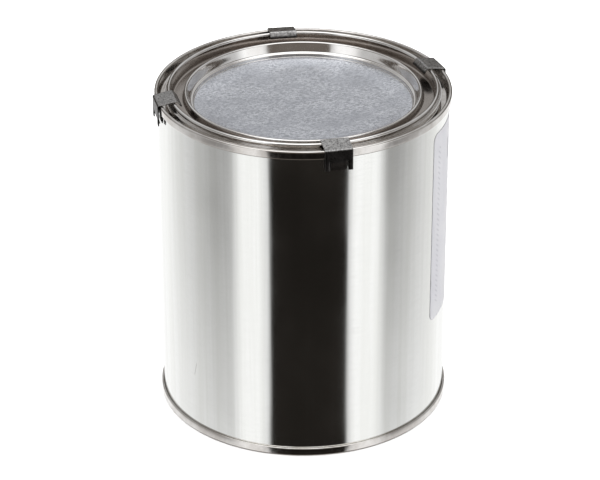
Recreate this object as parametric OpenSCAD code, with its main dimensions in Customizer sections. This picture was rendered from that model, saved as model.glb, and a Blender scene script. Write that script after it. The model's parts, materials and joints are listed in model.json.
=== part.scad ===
// Friction-lid paint can, one quart size, with four spring clips holding the lid.
// Units are millimetres, +Z is up, and the can stands on its bottom seam at z = 0.
// The front clip is at -Y. Azimuths run anticlockwise from there, seen from above.

/* [Can] */

// outer radius over the double seams
seam_r = 54; // [50:0.5:60]
// height from the bottom seam to the crest of the top seam
can_h = 123.8; // [110:0.1:150]
// tinplate thickness
plate_t = 0.24; // [0.2:0.01:0.26]
// height of both double seams
seam_h = 3.1; // [3:0.1:3.6]
// clearance between neighbouring layers inside a double seam
seam_gap = 0.06; // [0.05:0.01:0.07]
// depth of the bottom panel above the standing edge
bottom_depth = 3.8; // [3.6:0.1:6]

/* [Lid and closure ring] */

// crest radius of the lid's outer curl
curl_r = 48.7; // [48.5:0.05:48.9]
// height of the curl's crest above the top seam
curl_rise = 0.8; // [0.6:0.05:1]
// crest radius of the lid's inner bead
bead_r = 42.65; // [42.2:0.05:43]
// depth of the inner bead's crest below the top seam
bead_drop = 0.8; // [0.6:0.05:1.2]
// depth of the channel floor between curl and bead
channel_depth = 3.9; // [3.6:0.1:4.4]
// depth of the ledge at the foot of the plug wall
ledge_depth = 4.45; // [4.3:0.05:4.8]
// depth of the flat centre panel
panel_depth = 5.8; // [5.6:0.1:6.4]
// radius where the ledge steps down to the centre panel
panel_r = 40.3; // [39:0.1:40.5]
// clearance between the lid and the closure ring
lid_gap = 0.07; // [0.05:0.01:0.09]

/* [Clips] */

// width of each clip
clip_w = 10; // [8:0.5:12]
// spring steel thickness
clip_t = 0.45; // [0.35:0.05:0.5]
// downward tilt of the clip plate towards the outside
clip_tilt = 10; // [9.5:0.1:10.5]
// length of the legs below the top seam
leg_drop = 7.6; // [7:0.1:9]
// width of each straight side tab
tab_w = 1.7; // [1.2:0.1:2.2]
// slit between a side tab and the centre tang
slit_w = 0.4; // [0.3:0.1:0.6]
// inward slope of the centre tang
tang_slope = 13; // [8:1:13]
// azimuth of the front clip
front_az = 0; // [-10:1:10]
// azimuth of the right clip
right_az = 99; // [85:1:105]
// azimuth of the back clip
back_az = 176; // [170:1:190]
// azimuth of the left clip
left_az = -90; // [-100:1:-80]

/* [Label] */

// azimuth of the label's left edge
label_az = 48; // [40:1:60]
// length of the label around the body
label_w = 101.6; // [60:0.1:120]
// height of the label
label_h = 76.2; // [50:0.1:85]
// height of the label's lower edge above the floor
label_z = 40; // [30:0.5:40]

/* [Hidden] */

$fn = 180;

// colours
tin = [0.80, 0.80, 0.81];
tin_end = [0.74, 0.73, 0.72];
oxide = [0.18, 0.18, 0.19];
paper = [0.88, 0.88, 0.93];
rubber = [0.35, 0.30, 0.22];

// centre radii of the five layers of a double seam, from the outside inwards
layer_pitch = plate_t + seam_gap;
seam_wall = seam_r - plate_t / 2;
body_hook = seam_wall - layer_pitch;
end_hook = seam_wall - 2 * layer_pitch;
body_wall = seam_wall - 3 * layer_pitch;
chuck_wall = seam_wall - 4 * layer_pitch;
body_r = body_wall + plate_t / 2;

// bends of a double seam, in depth below the seam's crest
crest_bend = 0.48;
crest_depth = crest_bend + plate_t / 2;
body_bend_depth = plate_t * 1.5 + seam_gap + layer_pitch;
fold_depth = seam_h - layer_pitch - plate_t / 2;
end_tip_depth = 1.25;
body_tip_depth = fold_depth - 0.18;
bend_steps = 6;

// lid, measured as centre radii and depths of the sheet
curl_bend = 0.63;
curl_depth = curl_bend + plate_t / 2 - curl_rise;
hem_bend = 0.38;
hem_depth = 1.2;
bead_bend = 0.5;
bead_depth = bead_drop + bead_bend + plate_t / 2;
channel_bend = 1;
channel_mid = channel_depth + plate_t / 2;
foot_bend = 1.3;
ledge_mid = ledge_depth + plate_t / 2;
step_bend = 0.35;
panel_mid = panel_depth + plate_t / 2;

// closure ring, nested under the lid
ring_curl_bend = curl_bend - plate_t - lid_gap;
ring_bead_bend = bead_bend - plate_t - lid_gap;
ring_bend = 0.8;
pry_bend = 1.1;
pry_depth = 3.7;
groove_depth = channel_mid + 0.6;
mouth_bend = 0.45;
mouth_depth = groove_depth + 1;

// bottom end
bottom_bend = 1;
bottom_mid = bottom_depth + plate_t / 2;
ripple_r = 43;
ripple_bend = 0.6;
ripple_step = 1.39;

// sealing compound
compound_play = 0.03;
compound_r = layer_pitch - plate_t / 2 - compound_play;

// weld line of the body
weld_az = 250;
weld_w = 1.2;
weld_t = 0.08;
weld_margin = 5;

// label
label_play = 0.03;
label_t = 0.1;
label_corner = 3;
label_span = label_w / body_r * 180 / PI;
label_reach = 2 * seam_r;

// clip: the pivot is the tangent line the clip rocks on at the lid's curl
pivot_r = curl_r - 0.15;
pivot_z = can_h - curl_depth;
plate_clear = 0.86;
clip_bend = 0.3 + clip_t / 2;
bend_height = plate_clear + clip_t / 2 - clip_bend;
leg_clear = 0.15;
leg_r = seam_r + leg_clear + clip_t / 2;
toe_r = curl_r - 1;
toe_angle = 50;
toe_length = 2.3;
toe_z = pivot_z + (bend_height - (toe_r - pivot_r) * sin(clip_tilt)) / cos(clip_tilt);
bend_r = leg_r - clip_bend;
bend_z = pivot_z + (bend_height - (bend_r - pivot_r) * sin(clip_tilt)) / cos(clip_tilt);
slit_top = can_h - seam_h - 0.7;
leg_end = can_h - leg_drop;
tang_w = clip_w - 2 * tab_w - 2 * slit_w;
tang_length = (slit_top - leg_end) / cos(tang_slope);

// points of an arc about [r, z], from angle a0 to a1
function arc(r, z, radius, a0, a1, steps = bend_steps) =
    [for (i = [0:steps]) let (a = a0 + (a1 - a0) * i / steps) [r + radius * cos(a), z + radius * sin(a)]];

// one side of a bent sheet; each bend is [r, z, centre radius, start angle, end angle]
function sheet_side(bends, t, side) =
    [for (b = bends) each arc(b[0], b[1], b[2] + side * sign(b[4] - b[3]) * t / 2, b[3], b[4])];

// square-cut end of a sheet at [r, z], running in direction heading
function sheet_end(r, z, heading, t, side) = [r + side * sin(heading) * t / 2, z - side * cos(heading) * t / 2];

// closed outline of a sheet from a start [r, z, heading], through its bends, to an end [r, z, heading]
function sheet(start, bends, finish, t) = concat(
    [sheet_end(start[0], start[1], start[2], t, 1)],
    sheet_side(bends, t, 1),
    [sheet_end(finish[0], finish[1], finish[2], t, 1)],
    [sheet_end(finish[0], finish[1], finish[2], t, -1)],
    reverse(sheet_side(bends, t, -1)),
    [sheet_end(start[0], start[1], start[2], t, -1)]);

function reverse(list) = [for (i = [len(list) - 1:-1:0]) list[i]];

// bends that hook an end piece over the body, from its hidden edge to its chuck wall
seam_bends = [
    [body_hook, fold_depth, layer_pitch, 180, 0],
    [seam_wall - crest_bend, crest_depth, crest_bend, 0, -90],
    [chuck_wall + crest_bend, crest_depth, crest_bend, -90, -180]];

// turns a profile drawn as [radius, depth] into a piece at the top of the can
module top_revolve(outline) {
    translate([0, 0, can_h])
        mirror([0, 0, 1])
            rotate_extrude()
                polygon(outline);
}

module body_shell() {
    start = [body_hook, body_tip_depth, -90];
    bends = [
        [end_hook, body_bend_depth, layer_pitch, 0, -180],
        [end_hook, can_h - body_bend_depth, layer_pitch, 180, 0]];
    finish = [body_hook, can_h - body_tip_depth, -90];
    color(tin) {
        rotate_extrude()
            polygon(sheet(start, bends, finish, plate_t));
        rotate([0, 0, weld_az - 90 - weld_w / body_r * 90 / PI])
            rotate_extrude(angle = weld_w / body_r * 180 / PI)
                translate([body_wall, weld_margin])
                    square([plate_t / 2 + weld_t, can_h - 2 * weld_margin]);
    }
}

module bottom_end() {
    start = [end_hook, end_tip_depth, 90];
    bends = concat(seam_bends, [
        [chuck_wall - bottom_bend, bottom_mid - bottom_bend, bottom_bend, 0, 90],
        [ripple_r, bottom_mid - ripple_bend, ripple_bend, 90, 150],
        [ripple_r - ripple_step, bottom_mid - ripple_bend, ripple_bend, -30, -90]]);
    finish = [0, bottom_mid - 2 * ripple_bend, 180];
    color(tin_end)
        rotate_extrude()
            polygon(sheet(start, bends, finish, plate_t));
}

module closure_ring() {
    start = [end_hook, end_tip_depth, 90];
    pry_wall = curl_r + ring_curl_bend;
    groove_out = curl_r - ring_curl_bend;
    groove_in = bead_r + ring_bead_bend;
    mouth_wall = bead_r - ring_bead_bend;
    bends = concat(seam_bends, [
        [chuck_wall - pry_bend, pry_depth - pry_bend, pry_bend, 0, 90],
        [pry_wall + ring_bend, pry_depth - ring_bend, ring_bend, 90, 180],
        [curl_r, curl_depth, ring_curl_bend, 0, -180],
        [groove_out - ring_bend, groove_depth - ring_bend, ring_bend, 0, 90],
        [groove_in + ring_bend, groove_depth - ring_bend, ring_bend, 90, 180],
        [bead_r, bead_depth, ring_bead_bend, 0, -180],
        [mouth_wall + mouth_bend, mouth_depth, mouth_bend, 180, 0]]);
    finish = [mouth_wall + 2 * mouth_bend, mouth_depth - 0.2, -90];
    color(tin_end)
        top_revolve(sheet(start, bends, finish, plate_t));
}

module lid() {
    skirt = curl_r + curl_bend;
    channel_out = curl_r - curl_bend;
    channel_in = bead_r + bead_bend;
    plug_wall = bead_r - bead_bend;
    start = [skirt + 2 * hem_bend, hem_depth - 0.15, 90];
    bends = [
        [skirt + hem_bend, hem_depth, hem_bend, 0, 180],
        [curl_r, curl_depth, curl_bend, 0, -180],
        [channel_out - channel_bend, channel_mid - channel_bend, channel_bend, 0, 90],
        [channel_in + channel_bend, channel_mid - channel_bend, channel_bend, 90, 180],
        [bead_r, bead_depth, bead_bend, 0, -180],
        [plug_wall - foot_bend, ledge_mid - foot_bend, foot_bend, 0, 90],
        [panel_r, ledge_mid + step_bend, step_bend, -90, -180],
        [panel_r - 2 * step_bend, panel_mid - step_bend, step_bend, 0, 90]];
    finish = [0, panel_mid, 180];
    color(tin)
        top_revolve(sheet(start, bends, finish, plate_t));
}

// ring of sealing compound drawn from the standing edge upwards
module compound() {
    top = end_tip_depth - compound_play;
    crest = arc(end_hook, body_bend_depth, compound_r, 180, 360);
    rotate_extrude()
        polygon(concat(crest, [[end_hook + compound_r, top], [end_hook - compound_r, top]]));
}

module top_seam_compound() {
    color(rubber)
        translate([0, 0, can_h])
            mirror([0, 0, 1])
                compound();
}

module bottom_seam_compound() {
    color(rubber)
        compound();
}

// bent strip seen from its side, extruded to a width and centred on its own radius line
module clip_strip(outline, width) {
    translate([0, width / 2, 0])
        rotate([90, 0, 0])
            linear_extrude(width)
                polygon(outline);
}

module clip(az) {
    start = [
        toe_r - clip_bend * sin(toe_angle) - toe_length * cos(toe_angle),
        toe_z + clip_bend * cos(toe_angle) - toe_length * sin(toe_angle),
        toe_angle];
    bends = [
        [toe_r, toe_z, clip_bend, 90 + toe_angle, 90 - clip_tilt],
        [bend_r, bend_z, clip_bend, 90 - clip_tilt, 0]];
    slit_h = slit_top - leg_end;
    color(oxide)
        rotate([0, 0, az - 90]) {
            clip_strip(sheet(start, bends, [leg_r, slit_top, -90], clip_t), clip_w);
            for (side = [-1, 1])
                translate([leg_r - clip_t / 2, side * (clip_w - tab_w) / 2 - tab_w / 2, leg_end])
                    cube([clip_t, tab_w, slit_h]);
            translate([leg_r - clip_t / 2, 0, slit_top])
                rotate([0, tang_slope, 0])
                    translate([0, -tang_w / 2, -tang_length])
                        cube([clip_t, tang_w, tang_length + clip_t / 2]);
        }
}

module clip_front() {
    clip(front_az);
}

module clip_right() {
    clip(right_az);
}

module clip_back() {
    clip(back_az);
}

module clip_left() {
    clip(left_az);
}

// rounded rectangle, width by height, with its lower middle at the origin
module rounded_outline(width, height, corner) {
    translate([-width / 2 + corner, 0])
        square([width - 2 * corner, height]);
    translate([-width / 2, corner])
        square([width, height - 2 * corner]);
    for (x = [corner - width / 2, width / 2 - corner])
        for (y = [corner, height - corner])
            translate([x, y])
                circle(corner, $fn = 64);
}

module label() {
    face_r = body_r + label_play + label_t;
    color(paper)
        rotate([0, 0, label_az - 90 + label_span / 2])
            intersection() {
                rotate([0, 0, -label_span / 2])
                    rotate_extrude(angle = label_span)
                        translate([body_r + label_play, label_z])
                            square([label_t, label_h]);
                translate([0, 0, label_z])
                    rotate([90, 0, 90])
                        linear_extrude(label_reach)
                            rounded_outline(2 * face_r * sin(label_span / 2), label_h, label_corner);
            }
}

body_shell();
bottom_end();
closure_ring();
lid();
top_seam_compound();
bottom_seam_compound();
clip_front();
clip_right();
clip_back();
clip_left();
label();
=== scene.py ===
import json
import math

import bmesh
import bpy
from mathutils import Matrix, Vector


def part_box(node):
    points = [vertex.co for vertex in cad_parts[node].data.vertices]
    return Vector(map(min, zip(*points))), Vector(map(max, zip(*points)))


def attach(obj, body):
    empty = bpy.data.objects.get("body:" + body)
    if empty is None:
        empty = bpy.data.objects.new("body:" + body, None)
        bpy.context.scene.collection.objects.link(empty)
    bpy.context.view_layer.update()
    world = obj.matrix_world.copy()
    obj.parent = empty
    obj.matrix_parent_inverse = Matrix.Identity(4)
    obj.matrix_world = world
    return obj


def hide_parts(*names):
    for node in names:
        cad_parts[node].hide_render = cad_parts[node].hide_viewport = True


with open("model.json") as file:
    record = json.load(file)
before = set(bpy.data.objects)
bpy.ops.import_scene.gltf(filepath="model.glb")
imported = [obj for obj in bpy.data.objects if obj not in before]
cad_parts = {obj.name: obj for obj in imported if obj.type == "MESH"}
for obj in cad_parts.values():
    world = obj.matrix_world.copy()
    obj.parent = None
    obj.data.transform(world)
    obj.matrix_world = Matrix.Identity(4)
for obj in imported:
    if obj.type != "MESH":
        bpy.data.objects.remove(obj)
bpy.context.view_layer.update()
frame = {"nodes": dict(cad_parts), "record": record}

MM = 0.001
scene = bpy.context.scene
scene.view_settings.view_transform = "Standard"

# sheet thickness, and how far the lid's outer curl stands above the top seam
PLATE = 0.24
LID_GAP = 0.07
CURL_RISE = 0.8

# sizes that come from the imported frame; the ring's highest line is its curl, under the lid's
RING_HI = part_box("closure_ring")[1]
CAN_H = RING_HI.z / MM - (CURL_RISE - PLATE - LID_GAP)
SEAM_R = RING_HI.x / MM
LABEL_LO, LABEL_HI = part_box("label")

# centre radii of the double seam's layers
PITCH = PLATE + 0.06
SEAM_WALL = SEAM_R - PLATE / 2
BODY_HOOK = SEAM_WALL - PITCH
END_HOOK = SEAM_WALL - 2 * PITCH
BODY_WALL = SEAM_WALL - 3 * PITCH
CHUCK_WALL = SEAM_WALL - 4 * PITCH
BODY_R = BODY_WALL + PLATE / 2
SEAM_H = 3.1
CREST_BEND = 0.48
CREST_DEPTH = CREST_BEND + PLATE / 2
FOLD_DEPTH = SEAM_H - PITCH - PLATE / 2
HOOK_DEPTH = PLATE * 1.5 + 0.06 + PITCH

# lid and closure ring: the curl stands outside, then the channel, the bead, the ledge and the panel
CURL_R, CURL_BEND = 48.7, 0.63
BEAD_R, BEAD_BEND, BEAD_DROP = 42.65, 0.5, 0.8
CHANNEL_BEND = 1
CURL_DEPTH = CURL_BEND + PLATE / 2 - CURL_RISE
BEAD_DEPTH = BEAD_DROP + BEAD_BEND + PLATE / 2
CHANNEL_MID = 3.9 + PLATE / 2
LEDGE_R, LEDGE_MID = 40.3, 4.45 + PLATE / 2
PANEL_MID = 5.8 + PLATE / 2
STEP_BEND = 0.35
PLUG_SLOPE, PLUG_BEND = 17, 0.8
HEM_BEND, HEM_MID, HEM_END = 0.38, 1.2, 1.05

# the panel's own material starts inside PANEL_EDGE, and its middle lies PANEL_DISH lower
PANEL_EDGE = 39.2
PANEL_DISH, DISH_WIDTH, PANEL_WAVE = 0.8, 8, 0.02

# closure ring: the trough inside the seam, the groove under the lid's bead, and the rolled mouth
TROUGH_MID, TROUGH_OUTER, TROUGH_INNER = 3.7, 1.1, 0.8
GROOVE_MID, GROOVE_BEND = CHANNEL_MID + 0.6, 0.8
MOUTH_BEND = 0.45

# bottom end: its panel, one ripple near the edge, and the flat middle
BOTTOM_MID, BOTTOM_BEND = 3.8 + PLATE / 2, 1
RIPPLE_OUTER, RIPPLE_INNER, RIPPLE_BEND = 43, 41.61, 0.6

# lathe resolution: an arc's step in degrees, the steps round the can, and each outline's longest
# straight step in millimetres
ARC_STEP = 9
AROUND = 300
WALL_STEP, BOTTOM_STEP, LID_STEP = 2.5, 6, 1.2


def sin(a):
    return math.sin(math.radians(a))


def cos(a):
    return math.cos(math.radians(a))


def smooth(x, lo, hi):
    """0 at lo, 1 at hi, eased at both ends; lo may be the larger."""
    t = min(max((x - lo) / (hi - lo), 0), 1)
    return t * t * (3 - 2 * t)


def arc(r, d, radius, a0, a1):
    """Points along an arc round (r, d), from angle a0 to a1 in degrees."""
    steps = max(4, round(abs(a1 - a0) / ARC_STEP))
    turns = [a0 + (a1 - a0) * i / steps for i in range(steps + 1)]
    return [(r + radius * cos(a), d + radius * sin(a)) for a in turns]


def sheet_side(start, bends, finish, t, side):
    """One face of a bent sheet. A bend is (r, d, centre radius, start angle, end angle)."""
    def end(r, d, heading):
        return (r + side * sin(heading) * t / 2, d - side * cos(heading) * t / 2)
    points = [end(*start)]
    for r, d, radius, a0, a1 in bends:
        turn = 1 if a1 > a0 else -1
        points += arc(r, d, radius + side * turn * t / 2, a0, a1)
    return points + [end(*finish)]


def sheet(start, bends, finish, t=PLATE):
    """The closed outline of a bent sheet, as (radius, depth)."""
    return sheet_side(start, bends, finish, t, 1) + sheet_side(start, bends, finish, t, -1)[::-1]


def refined(outline, longest):
    """The outline with its long straight stretches split."""
    points = []
    for (r0, d0), (r1, d1) in zip(outline, outline[1:] + outline[:1]):
        steps = max(1, math.ceil(math.hypot(r1 - r0, d1 - d0) / longest))
        points += [(r0 + (r1 - r0) * i / steps, d0 + (d1 - d0) * i / steps) for i in range(steps)]
    return points


def as_object(name, verts, faces, sharp=40):
    mesh = bpy.data.meshes.new(name)
    mesh.from_pydata([tuple(c * MM for c in v) for v in verts], [], faces)
    bm = bmesh.new()
    bm.from_mesh(mesh)
    bmesh.ops.remove_doubles(bm, verts=bm.verts, dist=1e-7)
    bmesh.ops.recalc_face_normals(bm, faces=bm.faces)
    bm.to_mesh(mesh)
    bm.free()
    mesh.shade_smooth()
    mesh.set_sharp_from_angle(angle=math.radians(sharp))
    obj = bpy.data.objects.new(name, mesh)
    scene.collection.objects.link(obj)
    return obj


def lathe(name, outline, moved=None, azimuths=None):
    """Turns a closed outline of (radius, height) about the can's axis; moved shifts its points."""
    azimuths = azimuths or [360 * i / AROUND for i in range(AROUND)]
    verts, rings = [], []
    for r, z in outline:
        if r < 1e-6:
            rings.append([len(verts)])
            verts.append((0, 0, moved(r, z, 0)[1] if moved else z))
            continue
        rings.append(range(len(verts), len(verts) + len(azimuths)))
        for a in azimuths:
            rr, zz = moved(r, z, a) if moved else (r, z)
            verts.append((rr * sin(a), -rr * cos(a), zz))
    faces = []
    count = len(azimuths)
    for low, high in zip(rings, list(rings[1:]) + [rings[0]]):
        if len(low) == 1 and len(high) == 1:
            continue
        for i in range(count):
            j = (i + 1) % count
            if len(low) == 1:
                faces.append((low[0], high[i], high[j]))
            elif len(high) == 1:
                faces.append((low[i], low[j], high[0]))
            else:
                faces.append((low[i], low[j], high[j], high[i]))
    return as_object(name, verts, faces)


def from_top(outline):
    return [(r, CAN_H - d) for r, d in outline]


# ---------------------------------------------------------------- materials

class Surface:
    """A Principled material with short calls for the nodes behind it."""

    def __init__(self, name, metallic, ior=1.5):
        self.mat = bpy.data.materials.new(name)
        self.mat.use_nodes = True
        self.tree = self.mat.node_tree
        self.bsdf = self.tree.nodes["Principled BSDF"]
        self.bsdf.inputs["Metallic"].default_value = metallic
        self.bsdf.inputs["IOR"].default_value = ior
        self.place = self.tree.nodes.new("ShaderNodeTexCoord").outputs["Object"]

    def put(self, value, socket):
        if isinstance(value, bpy.types.NodeSocket):
            self.tree.links.new(value, socket)
        else:
            socket.default_value = value

    def math(self, operation, a, b=0.0, c=0.0):
        node = self.tree.nodes.new("ShaderNodeMath")
        node.operation = operation
        for value, socket in zip((a, b, c), node.inputs):
            self.put(value, socket)
        return node.outputs[0]

    def split(self):
        node = self.tree.nodes.new("ShaderNodeSeparateXYZ")
        self.put(self.place, node.inputs[0])
        return node.outputs

    def noise(self, scale, detail=2.0, rough=0.5):
        """Noise from 0 to 1; scale is cycles per metre along x, y and z."""
        stretch = self.tree.nodes.new("ShaderNodeMapping")
        stretch.inputs["Scale"].default_value = scale
        self.put(self.place, stretch.inputs["Vector"])
        node = self.tree.nodes.new("ShaderNodeTexNoise")
        node.inputs["Scale"].default_value = 1.0
        node.inputs["Detail"].default_value = detail
        node.inputs["Roughness"].default_value = rough
        self.put(stretch.outputs[0], node.inputs["Vector"])
        return node.outputs["Fac"]

    def span(self, value, lo, hi, to_lo=0.0, to_hi=1.0):
        """value from lo to hi, eased into to_lo to to_hi."""
        node = self.tree.nodes.new("ShaderNodeMapRange")
        node.interpolation_type = "SMOOTHSTEP"
        for socket, number in zip(node.inputs[:5], (value, lo, hi, to_lo, to_hi)):
            self.put(number, socket)
        return node.outputs[0]

    def mix(self, fac, a, b):
        node = self.tree.nodes.new("ShaderNodeMix")
        node.data_type = "RGBA"
        self.put(fac, node.inputs["Factor"])
        self.put(a, node.inputs[6])
        self.put(b, node.inputs[7])
        return node.outputs[2]

    def around(self, anisotropy):
        """Grain that runs round the can's axis."""
        node = self.tree.nodes.new("ShaderNodeTangent")
        node.direction_type = "RADIAL"
        node.axis = "Z"
        self.put(node.outputs[0], self.bsdf.inputs["Tangent"])
        self.bsdf.inputs["Anisotropic"].default_value = anisotropy
        self.bsdf.inputs["Anisotropic Rotation"].default_value = 0.25

    def finish(self, colour, rough, height=None, depth=0.0):
        """depth is the height of the bumps in metres."""
        self.put(colour, self.bsdf.inputs["Base Color"])
        self.put(rough, self.bsdf.inputs["Roughness"])
        if height is not None:
            bump = self.tree.nodes.new("ShaderNodeBump")
            bump.inputs["Strength"].default_value = 1.0
            bump.inputs["Distance"].default_value = depth
            self.put(height, bump.inputs["Height"])
            self.put(bump.outputs[0], self.bsdf.inputs["Normal"])
        return self.mat


def rgb(r, g, b):
    return (r, g, b, 1.0)


def near_line(s, u, v, u0, v0, u1, v1, width):
    """1 on the line from (u0, v0) to (u1, v1) in metres, easing to 0 at width."""
    length = math.hypot(u1 - u0, v1 - v0)
    along = s.math("ADD", s.math("MULTIPLY", s.math("SUBTRACT", u, u0), (u1 - u0) / length),
                   s.math("MULTIPLY", s.math("SUBTRACT", v, v0), (v1 - v0) / length))
    across = s.math("SUBTRACT", s.math("MULTIPLY", s.math("SUBTRACT", u, u0), (v1 - v0) / length),
                    s.math("MULTIPLY", s.math("SUBTRACT", v, v0), (u1 - u0) / length))
    beyond = s.math("MAXIMUM", s.math("SUBTRACT", 0.0, along), s.math("SUBTRACT", along, length))
    gap = s.math("MAXIMUM", s.math("ABSOLUTE", across), beyond)
    return s.span(gap, 0.0, width, 1.0, 0.0)


def unrolled(s):
    """Distance round the wall from the front, and height, in metres."""
    x, y, z = s.split()
    turn = s.math("ARCTAN2", x, s.math("MULTIPLY", y, -1.0))
    return s.math("MULTIPLY", turn, BODY_R * MM), z


# fine scratches on the unrolled wall, in metres: both ends, then the width
SCRATCHES = [(-0.0575, 0.0235, -0.0563, 0.0285, 0.00022), (-0.0210, 0.0600, -0.0185, 0.0612, 0.00010)]
WELD_MARGIN, WELD_HEAT = 0.004, 0.0028


def wall_tin():
    """Bright rolled tinplate, with its grain running round the can."""
    s = Surface("tinplate wall", 1.0)
    u, v = unrolled(s)
    grain = s.noise((200, 200, 3000), 3.0, 0.6)
    bands = s.noise((300, 300, 5), 3.0, 0.6)
    clouds = s.noise((45, 45, 30), 2.0)
    colour = s.mix(s.span(bands, 0.35, 0.65), rgb(0.85, 0.855, 0.83), rgb(0.91, 0.915, 0.90))
    colour = s.mix(s.span(grain, 0.4, 0.7, 0.0, 0.35), colour, rgb(0.80, 0.805, 0.785))
    scratches = s.math("MAXIMUM", *(near_line(s, u, v, *scratch) for scratch in SCRATCHES))
    colour = s.mix(s.math("MULTIPLY", scratches, 0.6), colour, rgb(0.35, 0.34, 0.32))
    weld = near_line(s, u, v, WELD_U, WELD_MARGIN, WELD_U, CAN_H * MM - WELD_MARGIN, WELD_HEAT)
    colour = s.mix(s.math("MULTIPLY", weld, 0.55), colour, rgb(0.42, 0.38, 0.35))
    rough = s.math("ADD", s.span(clouds, 0.3, 0.7, 0.10, 0.14), s.math("MULTIPLY", weld, 0.2))
    height = s.math("ADD", s.math("MULTIPLY", grain, 0.12), bands)
    s.around(0.8)
    return s.finish(colour, rough, height, 0.000008)


def seam_tin():
    """Tinplate worked over the seaming rolls: warmer, with fine marks across the seam."""
    s = Surface("tinplate ends", 1.0)
    marks = s.noise((900, 900, 120), 2.0)
    clouds = s.noise((160, 160, 160), 3.0, 0.6)
    colour = s.mix(s.span(clouds, 0.3, 0.7), rgb(0.62, 0.59, 0.56), rgb(0.78, 0.76, 0.74))
    rough = s.span(marks, 0.3, 0.7, 0.07, 0.15)
    return s.finish(colour, rough, s.math("ADD", marks, clouds), 0.000003)


def lid_tin():
    """The lid's bright rim, with painted shade that darkens the hollow outside its bead to brown,
    deepest at its floor.
    """
    s = Surface("tinplate lid rim", 1.0)
    x, y, z = s.split()
    radius = s.math("SQRT", s.math("ADD", s.math("MULTIPLY", x, x), s.math("MULTIPLY", y, y)))
    # painted shade: below the rim and outside the bead, the colour darkens to brown with depth
    deep = s.span(z, (CAN_H - 2.4) * MM, (CAN_H - 1.0) * MM, 1.0, 0.0)
    channel_shade = s.math("MULTIPLY", deep, s.span(radius, BEAD_R * MM, (BEAD_R + 0.5) * MM))
    marks = s.noise((500, 500, 500), 3.0, 0.6)
    clouds = s.noise((110, 110, 110), 2.0)
    colour = s.mix(s.span(clouds, 0.3, 0.7), rgb(0.74, 0.72, 0.70), rgb(0.86, 0.85, 0.84))
    colour = s.mix(s.math("MULTIPLY", channel_shade, 0.85), colour, rgb(0.36, 0.32, 0.29))
    rough = s.math("ADD", s.span(marks, 0.3, 0.7, 0.06, 0.13), s.math("MULTIPLY", channel_shade, 0.1))
    return s.finish(colour, rough, s.math("ADD", clouds, s.math("MULTIPLY", marks, 0.4)), 0.000007)


def panel_tin():
    """The lid's centre panel: matt, finely speckled, with a slight straight grain."""
    s = Surface("tinplate lid panel", 1.0)
    speckle = s.noise((900, 1800, 900), 3.0, 0.7)
    fine = s.noise((2600, 3600, 2600), 2.0, 0.6)
    clouds = s.noise((60, 90, 60), 3.0)
    dots = s.math("ADD", s.math("MULTIPLY", speckle, 0.65), s.math("MULTIPLY", fine, 0.35))
    light = s.mix(s.span(dots, 0.42, 0.58), rgb(0.48, 0.50, 0.55), rgb(0.90, 0.92, 0.97))
    colour = s.mix(s.span(clouds, 0.40, 0.65, 0.0, 0.45), light, rgb(0.52, 0.54, 0.59))
    rough = s.span(fine, 0.3, 0.7, 0.38, 0.5)
    return s.finish(colour, rough, dots, 0.00002)


def clip_steel():
    """Dark oxide spring steel, with a speckled painted highlight that makes its top paler."""
    s = Surface("dark spring steel", 1.0)
    speckle = s.noise((1500, 1500, 1500), 3.0, 0.7)
    clouds = s.noise((260, 260, 260), 2.0)
    z = s.split()[2]
    # painted highlight: the strip's top is mixed towards a pale grey, broken up by speckle
    top = s.span(z, CAN_H * MM - 0.0002, CAN_H * MM + 0.0006)
    painted_top_highlight = s.math("MULTIPLY", top, s.span(speckle, 0.35, 0.65, 0.35, 1.0))
    dark = s.mix(s.span(clouds, 0.3, 0.7), rgb(0.032, 0.030, 0.029), rgb(0.070, 0.066, 0.064))
    colour = s.mix(painted_top_highlight, dark, rgb(0.55, 0.545, 0.54))
    rough = s.span(speckle, 0.3, 0.7, 0.26, 0.38)
    return s.finish(colour, rough, s.math("ADD", speckle, clouds), 0.000012)


# the label's printed layout, in metres: left and right ends count from its left edge, heights from
# the floor
DASHES = {"left": 0.0042, "right": 0.0064, "low": 0.046, "high": 0.110}
BARS = {"left": 0.018, "right": 0.084, "low": 0.0532, "high": 0.0942}
HEADER = {"left": 0.016, "right": 0.088, "low": 0.1000, "high": 0.1085}
DASH_PITCH, BAR_PITCH = 0.0021, 0.0052


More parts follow.
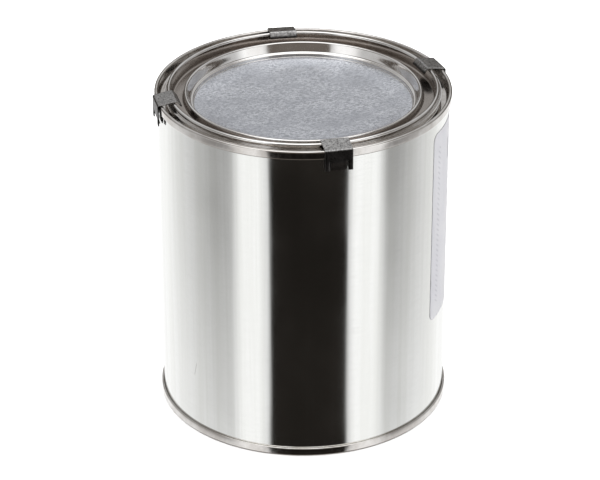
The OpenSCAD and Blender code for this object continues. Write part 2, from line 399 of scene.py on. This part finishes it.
def label_print():
    """White sticker with a column of slanted dashes, plain grey bars and nothing to read."""
    s = Surface("label", 0.0)
    u, v = unrolled(s)
    left = LABEL_AZ * math.pi / 180 * BODY_R * MM
    fibre = s.noise((1800, 1800, 1800), 3.0, 0.6)
    clouds = s.noise((70, 70, 70), 2.0)
    from_left = s.math("SUBTRACT", u, left)
    slanted = s.math("ADD", v, s.math("MULTIPLY", from_left, 0.8))
    phase = s.math("FRACT", s.math("MULTIPLY", slanted, 1 / DASH_PITCH))
    dash = s.math("MULTIPLY", s.span(phase, 0.08, 0.2), s.span(phase, 0.42, 0.55, 1.0, 0.0))

    def band(value, lo, hi, edge=0.0001):
        """1 where value is from lo to hi."""
        rise = s.span(value, lo - edge, lo + edge)
        fall = s.span(value, hi - edge, hi + edge, 1.0, 0.0)
        return s.math("MULTIPLY", rise, fall)

    def block(area):
        """1 inside one area of the layout."""
        return s.math("MULTIPLY", band(from_left, area["left"], area["right"]),
                      band(v, area["low"], area["high"]))

    marks = s.math("MULTIPLY", block(DASHES), dash)
    rows = s.math("FRACT", s.math("MULTIPLY", v, 1 / BAR_PITCH))
    lines = s.math("MULTIPLY", block(BARS), band(rows, 0.30, 0.62, 0.02))
    header = block(HEADER)
    ink = s.math("MAXIMUM", s.math("MULTIPLY", marks, 0.35), s.math("MULTIPLY", lines, 0.30))
    ink = s.math("MAXIMUM", ink, s.math("MULTIPLY", header, 0.6))
    ink = s.math("MULTIPLY", ink, s.span(fibre, 0.25, 0.6, 0.8, 1.0))
    paper = s.mix(s.span(clouds, 0.3, 0.7), rgb(0.50, 0.50, 0.535), rgb(0.55, 0.55, 0.575))
    colour = s.mix(ink, paper, rgb(0.20, 0.20, 0.24))
    rough = s.span(fibre, 0.3, 0.7, 0.34, 0.46)
    return s.finish(colour, rough, fibre, 0.000006)


def seam_rubber():
    """Grey-brown sealing compound inside the seams."""
    s = Surface("sealing compound", 0.0)
    grain = s.noise((900, 900, 900), 3.0)
    colour = s.mix(grain, rgb(0.10, 0.085, 0.06), rgb(0.17, 0.14, 0.10))
    return s.finish(colour, s.span(grain, 0.3, 0.7, 0.6, 0.8), grain, 0.00002)


def floor_surface():
    s = Surface("pale floor", 0.0)
    grain = s.noise((40, 40, 40), 2.0)
    colour = s.mix(grain, rgb(0.90, 0.90, 0.90), rgb(0.92, 0.92, 0.92))
    s.bsdf.inputs["Specular IOR Level"].default_value = 0.1
    return s.finish(colour, s.span(grain, 0.3, 0.7, 0.85, 0.95), grain, 0.00001)


# ---------------------------------------------------------------- tinplate pieces

WALL_BROAD, WALL_NARROW = 0.020, 0.008
WELD_AZ, WELD_W, WELD_T = 250, 1.2, 0.08
WELD_U = (WELD_AZ - 360) * math.pi / 180 * BODY_R * MM
LABEL_AZ, LABEL_WIDTH, LABEL_CORNER, LABEL_T = 48, 101.4, 3.0, 0.09

SEAM_BENDS = [
    (BODY_HOOK, FOLD_DEPTH, PITCH, 180, 0),
    (SEAM_WALL - CREST_BEND, CREST_DEPTH, CREST_BEND, 0, -90),
    (CHUCK_WALL + CREST_BEND, CREST_DEPTH, CREST_BEND, -90, -180)]
SEAM_START = (END_HOOK, 1.25, 90)


def swell(azimuth, z):
    """Slight unevenness of the rolled wall, in millimetres; it never stands proud."""
    free = smooth(z, 6, 22) * smooth(z, CAN_H - 6, CAN_H - 22)
    broad = WALL_BROAD * cos(5 * azimuth + 0.4 * z)
    narrow = WALL_NARROW * cos(17 * azimuth - 0.9 * z + 40)
    return free * (broad + narrow - WALL_BROAD - WALL_NARROW)


def moved_wall(r, z, azimuth):
    if r < BODY_WALL - 0.2 or r > BODY_R + 0.02:
        return r, z
    inside = 5 < z < CAN_H - 5
    if r > BODY_WALL and inside:
        off = abs((azimuth - WELD_AZ + 180) % 360 - 180) * math.pi / 180 * BODY_R
        r += WELD_T * smooth(off, WELD_W / 2 + 0.05, WELD_W / 2 - 0.15)
    return r + swell(azimuth, z), z


def wall_azimuths():
    """Even steps, with a finer run of them across the weld."""
    step = 360 / AROUND
    even = [i * step for i in range(AROUND)]
    fine = [WELD_AZ + 0.1 * i for i in range(-10, 11)]
    return sorted([a for a in even if abs(a - WELD_AZ) > 1.5] + fine)


def make_body():
    bends = [
        (END_HOOK, HOOK_DEPTH, PITCH, 0, -180),
        (END_HOOK, CAN_H - HOOK_DEPTH, PITCH, 180, 0)]
    tip = FOLD_DEPTH - 0.18
    outline = sheet((BODY_HOOK, tip, -90), bends, (BODY_HOOK, CAN_H - tip, -90))
    return lathe("can_wall", refined(outline, WALL_STEP), moved_wall, wall_azimuths())


def make_bottom():
    ripple_mid = BOTTOM_MID - RIPPLE_BEND
    bends = SEAM_BENDS + [
        (CHUCK_WALL - BOTTOM_BEND, BOTTOM_MID - BOTTOM_BEND, BOTTOM_BEND, 0, 90),
        (RIPPLE_OUTER, ripple_mid, RIPPLE_BEND, 90, 150),
        (RIPPLE_INNER, ripple_mid, RIPPLE_BEND, -30, -90)]
    outline = sheet(SEAM_START, bends, (0, BOTTOM_MID - 2 * RIPPLE_BEND, 180))
    return lathe("can_bottom", refined(outline, BOTTOM_STEP))


def make_ring():
    curl, bead = CURL_BEND - PLATE - LID_GAP, BEAD_BEND - PLATE - LID_GAP
    groove_top = GROOVE_MID - GROOVE_BEND
    mouth = BEAD_R - bead
    bends = SEAM_BENDS + [
        (CHUCK_WALL - TROUGH_OUTER, TROUGH_MID - TROUGH_OUTER, TROUGH_OUTER, 0, 90),
        (CURL_R + curl + TROUGH_INNER, TROUGH_MID - TROUGH_INNER, TROUGH_INNER, 90, 180),
        (CURL_R, CURL_DEPTH, curl, 0, -180),
        (CURL_R - curl - GROOVE_BEND, groove_top, GROOVE_BEND, 0, 90),
        (BEAD_R + bead + GROOVE_BEND, groove_top, GROOVE_BEND, 90, 180),
        (BEAD_R, BEAD_DEPTH, bead, 0, -180),
        (mouth + MOUTH_BEND, GROOVE_MID + 1, MOUTH_BEND, 180, 0)]
    finish = (mouth + 2 * MOUTH_BEND, GROOVE_MID + 0.8, -90)
    return lathe("closure_rim", from_top(sheet(SEAM_START, bends, finish)))


def moved_lid(r, z, azimuth):
    """The centre panel drops a little inside its edge, and isn't quite even."""
    dish = PANEL_DISH * smooth(r, PANEL_EDGE, PANEL_EDGE - DISH_WIDTH)
    flat = smooth(r, PANEL_EDGE - 1, PANEL_EDGE - 1 - DISH_WIDTH) * smooth(r, 2, 16)
    wave = PANEL_WAVE * (cos(2 * azimuth + 30) + cos(3 * azimuth + 8 * r))
    return r, z - dish + flat * wave


def make_lid():
    skirt = CURL_R + CURL_BEND
    plug_drop = LEDGE_MID - PLUG_BEND - BEAD_DEPTH
    plug_foot = BEAD_R - (BEAD_BEND + PLUG_BEND + plug_drop * sin(PLUG_SLOPE)) / cos(PLUG_SLOPE)
    bends = [
        (skirt + HEM_BEND, HEM_MID, HEM_BEND, 0, 180),
        (CURL_R, CURL_DEPTH, CURL_BEND, 0, -180),
        (CURL_R - CURL_BEND - CHANNEL_BEND, CHANNEL_MID - CHANNEL_BEND, CHANNEL_BEND, 0, 90),
        (BEAD_R + BEAD_BEND + CHANNEL_BEND, CHANNEL_MID - CHANNEL_BEND, CHANNEL_BEND, 90, 180),
        (BEAD_R, BEAD_DEPTH, BEAD_BEND, 0, PLUG_SLOPE - 180),
        (plug_foot, LEDGE_MID - PLUG_BEND, PLUG_BEND, PLUG_SLOPE, 90),
        (LEDGE_R, LEDGE_MID + STEP_BEND, STEP_BEND, -90, -180),
        (LEDGE_R - 2 * STEP_BEND, PANEL_MID - STEP_BEND, STEP_BEND, 0, 90)]
    outline = sheet((skirt + 2 * HEM_BEND, HEM_END, 90), bends, (0, PANEL_MID, 180))
    return lathe("friction_lid", from_top(refined(outline, LID_STEP)), moved_lid)


# ---------------------------------------------------------------- clips

CLIP_T, CLIP_W, TAB_W, SLIT_W = 0.45, 10, 1.7, 0.4
CLIP_TILT, TANG_SLOPE, TOE_ANGLE, TOE_LENGTH = 10, 13, 50, 2.3
PIVOT_R, PIVOT_Z = CURL_R - 0.15, CAN_H - CURL_DEPTH
CLIP_BEND = 0.3 + CLIP_T / 2
CLIP_EDGE, CLIP_STEP, LEG_STEPS = 0.07, 0.6, 9
BEND_HEIGHT = 0.86 + CLIP_T / 2 - CLIP_BEND
LEG_R = SEAM_R + 0.15 + CLIP_T / 2
SLIT_TOP = CAN_H - SEAM_H - 0.7
LEG_END = CAN_H - 7.6


def plate_height(r):
    return PIVOT_Z + (BEND_HEIGHT - (r - PIVOT_R) * sin(CLIP_TILT)) / cos(CLIP_TILT)


def clip_path():
    """The strip's middle line from its toe to the top of its slits, as (radius, height)."""
    toe_r, bend_r = CURL_R - 1, LEG_R - CLIP_BEND
    toe_z, bend_z = plate_height(toe_r), plate_height(bend_r)
    start = (toe_r - CLIP_BEND * sin(TOE_ANGLE) - TOE_LENGTH * cos(TOE_ANGLE),
             toe_z + CLIP_BEND * cos(TOE_ANGLE) - TOE_LENGTH * sin(TOE_ANGLE))
    path = [start] + arc(toe_r, toe_z, CLIP_BEND, 90 + TOE_ANGLE, 90 - CLIP_TILT)
    path += arc(bend_r, bend_z, CLIP_BEND, 90 - CLIP_TILT, 0) + [(LEG_R, SLIT_TOP)]
    points = [path[0]]
    for (r0, z0), (r1, z1) in zip(path, path[1:]):
        steps = max(1, math.ceil(math.hypot(r1 - r0, z1 - z0) / CLIP_STEP))
        points += [(r0 + (r1 - r0) * i / steps, z0 + (z1 - z0) * i / steps)
                   for i in range(1, steps + 1)]
    return points


def make_clip(name, azimuth):
    """One bent strip; below its slits the middle tang leans in and the two side tabs hang straight."""
    tab_in = CLIP_W / 2 - TAB_W
    tang_half = tab_in - SLIT_W
    right = [tang_half * i / 4 for i in range(1, 5)] + [tab_in + TAB_W * i / 3 for i in range(4)]
    columns = [-w for w in reversed(right)] + [0] + right
    verts, faces = [], []
    across = Vector((cos(azimuth), sin(azimuth), 0))
    outward = Vector((sin(azimuth), -cos(azimuth), 0))

    def row(points):
        first = len(verts)
        verts.extend(tuple(outward * r + across * w + Vector((0, 0, z))) for r, w, z in points)
        return list(range(first, len(verts)))

    def join(upper, lower):
        faces.extend(zip(upper, upper[1:], lower[1:], lower))

    rows = [row([(r, w, z) for w in columns]) for r, z in clip_path()]
    for upper, lower in zip(rows, rows[1:]):
        join(upper, lower)
    hem = rows[-1]
    tabs = [[i for i, w in enumerate(columns) if w <= -tab_in + 1e-6],
            [i for i, w in enumerate(columns) if w >= tab_in - 1e-6]]
    tang = [i for i, w in enumerate(columns) if abs(w) <= tang_half + 1e-6]
    drop = (SLIT_TOP - LEG_END) / LEG_STEPS
    for group, slope in [(tabs[0], 0), (tabs[1], 0), (tang, TANG_SLOPE)]:
        upper = [hem[i] for i in group]
        r, z = LEG_R, SLIT_TOP
        for k in range(LEG_STEPS):
            lean = slope * smooth(k + 0.5, 0, 2)
            r -= drop * math.tan(math.radians(lean))
            z -= drop
            lower = row([(r, columns[i], z) for i in group])
            join(upper, lower)
            upper = lower
    clip = as_object(name, verts, faces, 30)
    thick = clip.modifiers.new("thickness", "SOLIDIFY")
    thick.thickness = CLIP_T * MM
    thick.offset = 0
    thick.use_even_offset = True
    edge = clip.modifiers.new("edges", "BEVEL")
    edge.width = CLIP_EDGE * MM
    edge.segments = 2
    edge.limit_method = "ANGLE"
    edge.angle_limit = math.radians(50)
    return clip


# ---------------------------------------------------------------- label

def make_label():
    """A thin sticker with rounded corners, bent round the wall."""
    lo, hi = LABEL_LO.z / MM, LABEL_HI.z / MM
    corner, width, radius = LABEL_CORNER, LABEL_WIDTH, BODY_R + 0.08
    turns = [corner * (1 - cos(15 * i)) for i in range(7)]
    heights = [lo + t for t in turns]
    heights += [lo + corner + (hi - lo - 2 * corner) * i / 26 for i in range(1, 26)]
    heights += [hi - t for t in reversed(turns)]
    columns = 96
    verts, faces = [], []
    for z in heights:
        near = min(z - lo, hi - z)
        inset = corner - math.sqrt(max(corner ** 2 - max(corner - near, 0) ** 2, 0))
        for i in range(columns + 1):
            u = inset + (width - 2 * inset) * i / columns
            a = LABEL_AZ + (u + 0.1) / BODY_R * 180 / math.pi
            r = radius + swell(a, z)
            verts.append((r * sin(a), -r * cos(a), z))
    for j in range(len(heights) - 1):
        for i in range(columns):
            a = j * (columns + 1) + i
            faces.append((a, a + 1, a + columns + 2, a + columns + 1))
    label = as_object("wall_label", verts, faces)
    thick = label.modifiers.new("thickness", "SOLIDIFY")
    thick.thickness = LABEL_T * MM
    thick.offset = 0
    return label


# ---------------------------------------------------------------- assembly

def place(obj, body, node, slot, *materials):
    """Gives a piece its materials and body, in place of the CAD node that it stands for."""
    for material in materials:
        obj.data.materials.append(material)
    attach(obj, body)
    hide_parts(node)
    return obj


ends = seam_tin()
place(make_body(), "can", "body_shell", "tinplate_body", wall_tin())
place(make_bottom(), "can", "bottom_end", "tinplate_ends", ends)
place(make_ring(), "can", "closure_ring", "tinplate_ends", ends)
lid = place(make_lid(), "lid", "lid", "tinplate_lid", lid_tin(), panel_tin())
for face in lid.data.polygons:
    c = face.center
    if math.hypot(c.x, c.y) < PANEL_EDGE * MM:
        face.material_index = 1
place(make_label(), "can", "label", "label_paper", label_print())

steel = clip_steel()
for joint in frame["record"]["behaviour"]["joints"]:
    clip = joint["child"]
    if clip == "lid":
        continue
    x, y, _ = joint["pos_m"]
    azimuth = math.degrees(math.atan2(x, -y))
    place(make_clip(clip + "_spring", azimuth), clip, clip, "clip_steel", steel)

rubber = seam_rubber()
for name in ("top_seam_compound", "bottom_seam_compound"):
    for slot in frame["nodes"][name].material_slots:
        slot.material = rubber

# ---------------------------------------------------------------- studio

CAM_AZ, CAM_EL, CAM_DISTANCE = -13.2, 27.93, 0.99819
CAM_LENS, CAM_SENSOR, CAM_SHIFT, CAM_AIM = 160.34, 36, -0.0054, 0.4924
LIGHT_POWER, LIGHT_SPREAD = 3.6, 70


def make_camera():
    data = bpy.data.cameras.new("camera")
    data.lens, data.sensor_width, data.shift_x = CAM_LENS, CAM_SENSOR, CAM_SHIFT
    camera = bpy.data.objects.new("camera", data)
    scene.collection.objects.link(camera)
    aim = Vector((0, 0, CAM_AIM * CAN_H * MM))
    towards = Vector((sin(CAM_AZ) * cos(CAM_EL), -cos(CAM_AZ) * cos(CAM_EL), sin(CAM_EL)))
    camera.location = aim + towards * CAM_DISTANCE
    camera.rotation_euler = (aim - camera.location).to_track_quat("-Z", "Y").to_euler()
    scene.camera = camera


def make_floor():
    bm = bmesh.new()
    bmesh.ops.create_grid(bm, x_segments=8, y_segments=8, size=12)
    mesh = bpy.data.meshes.new("floor")
    bm.to_mesh(mesh)
    bm.free()
    mesh.materials.append(floor_surface())
    floor = bpy.data.objects.new("floor", mesh)
    scene.collection.objects.link(floor)
    floor.visible_glossy = False
    floor.visible_shadow = False


# The studio's surroundings. Two soft panels stand either side of a dark gap behind the camera, and a
# pale sweep closes the far side. Azimuths are degrees round from the camera's side.
def surroundings(sweep, side, panel, gap):
    """Brightness all round, as (azimuth, level), from the levels of its four parts."""
    return [(-180, sweep), (-140, sweep), (-75, side), (-60, side), (-50, panel), (-35, panel),
            (-28, 0.7 * panel), (-26, gap), (35, gap), (36.5, 0.7 * panel), (42, panel), (60, panel),
            (70, side), (80, side), (140, sweep), (180, sweep)]


# layers from the lowest up, over the brightness straight below: the heights between which each fades
# in, as z of a unit direction, and its brightness all round
UNDER = (0.20, 0.18, 0.16)
TABLE_NEAR = (-0.80, -0.62, surroundings(1.05, 0.80, 1.05, 0.015))
TABLE_FAR = (-0.54, -0.45, surroundings(1.05, 0.35, 1.05, 0.010))
BACKDROP = (-0.36, -0.22, surroundings(0.10, 0.60, 1.15, 0.16))
UPPER = (0.28, 0.44, surroundings(0.60, 0.15, 0.80, 0.10))

# the softbox overhead fades in between these heights
SOFTBOX_FROM, SOFTBOX_FULL = 0.80, 0.90
SOFTBOX = (1.7, 1.7, 1.7)

# dark surroundings are warmer: the tint fades in as the level falls from the first to the second
SHADE_TINT = (1.0, 0.86, 0.74)
SHADE_LEVELS = (0.4, 0.1)


def make_world():
    """Surroundings for the reflections, by azimuth and height; the camera itself sees plain white."""
    world = bpy.data.worlds.new("studio")
    scene.world = world
    world.use_nodes = True
    tree = world.node_tree
    tree.nodes.clear()

    def node(kind, **settings):
        made = tree.nodes.new(kind)
        for key, value in settings.items():
            setattr(made, key, value)
        return made

    def put(value, socket):
        if isinstance(value, bpy.types.NodeSocket):
            tree.links.new(value, socket)
        else:
            socket.default_value = value

    def maths(operation, a, b=0.0):
        made = node("ShaderNodeMath", operation=operation)
        put(a, made.inputs[0])
        put(b, made.inputs[1])
        return made.outputs[0]

    turn = node("ShaderNodeVectorRotate", rotation_type="Z_AXIS")
    put(node("ShaderNodeTexCoord").outputs["Generated"], turn.inputs["Vector"])
    turn.inputs["Angle"].default_value = math.radians(-CAM_AZ)
    split = node("ShaderNodeSeparateXYZ")
    put(turn.outputs[0], split.inputs[0])
    x, y, z = split.outputs
    round_ = maths("ARCTAN2", x, maths("MULTIPLY", y, -1.0))
    place_round = maths("ADD", maths("MULTIPLY", round_, 1 / (2 * math.pi)), 0.5)

    def ramp(levels):
        made = node("ShaderNodeValToRGB")
        put(place_round, made.inputs[0])
        stops = made.color_ramp.elements
        while len(stops) < len(levels):
            stops.new(0.5)
        for stop, (azimuth, level) in zip(stops, levels):
            shade = smooth(level, *SHADE_LEVELS)
            stop.position = azimuth / 360 + 0.5
            stop.color = rgb(*(level * (1 + shade * (t - 1)) for t in SHADE_TINT))
        return made.outputs[0]

    def blended(lo, hi, under, over):
        rise = node("ShaderNodeMapRange", interpolation_type="SMOOTHSTEP")
        for socket, value in zip(rise.inputs[:5], (z, lo, hi, 0.0, 1.0)):
            put(value, socket)
        made = node("ShaderNodeMix", data_type="RGBA")
        put(rise.outputs[0], made.inputs["Factor"])
        put(under, made.inputs[6])
        put(over, made.inputs[7])
        return made.outputs[2]

    sky = rgb(*UNDER)
    for lo, hi, levels in (TABLE_NEAR, TABLE_FAR, BACKDROP, UPPER):
        sky = blended(lo, hi, sky, ramp(levels))
    sky = blended(SOFTBOX_FROM, SOFTBOX_FULL, sky, rgb(*SOFTBOX))
    lit, plain = node("ShaderNodeBackground"), node("ShaderNodeBackground")
    put(sky, lit.inputs["Color"])
    put(rgb(1.0, 1.0, 1.0), plain.inputs["Color"])
    both = node("ShaderNodeMixShader")
    put(node("ShaderNodeLightPath").outputs["Is Camera Ray"], both.inputs[0])
    put(lit.outputs[0], both.inputs[1])
    put(plain.outputs[0], both.inputs[2])
    put(both.outputs[0], node("ShaderNodeOutputWorld").inputs["Surface"])


def make_light():
    """A wide soft light from straight above for what isn't metal; the world does the reflections."""
    data = bpy.data.lights.new("overhead", "SUN")
    data.energy = LIGHT_POWER
    data.angle = math.radians(LIGHT_SPREAD)
    light = bpy.data.objects.new("overhead", data)
    scene.collection.objects.link(light)
    light.visible_glossy = False


make_camera()
make_floor()
make_world()
make_light()
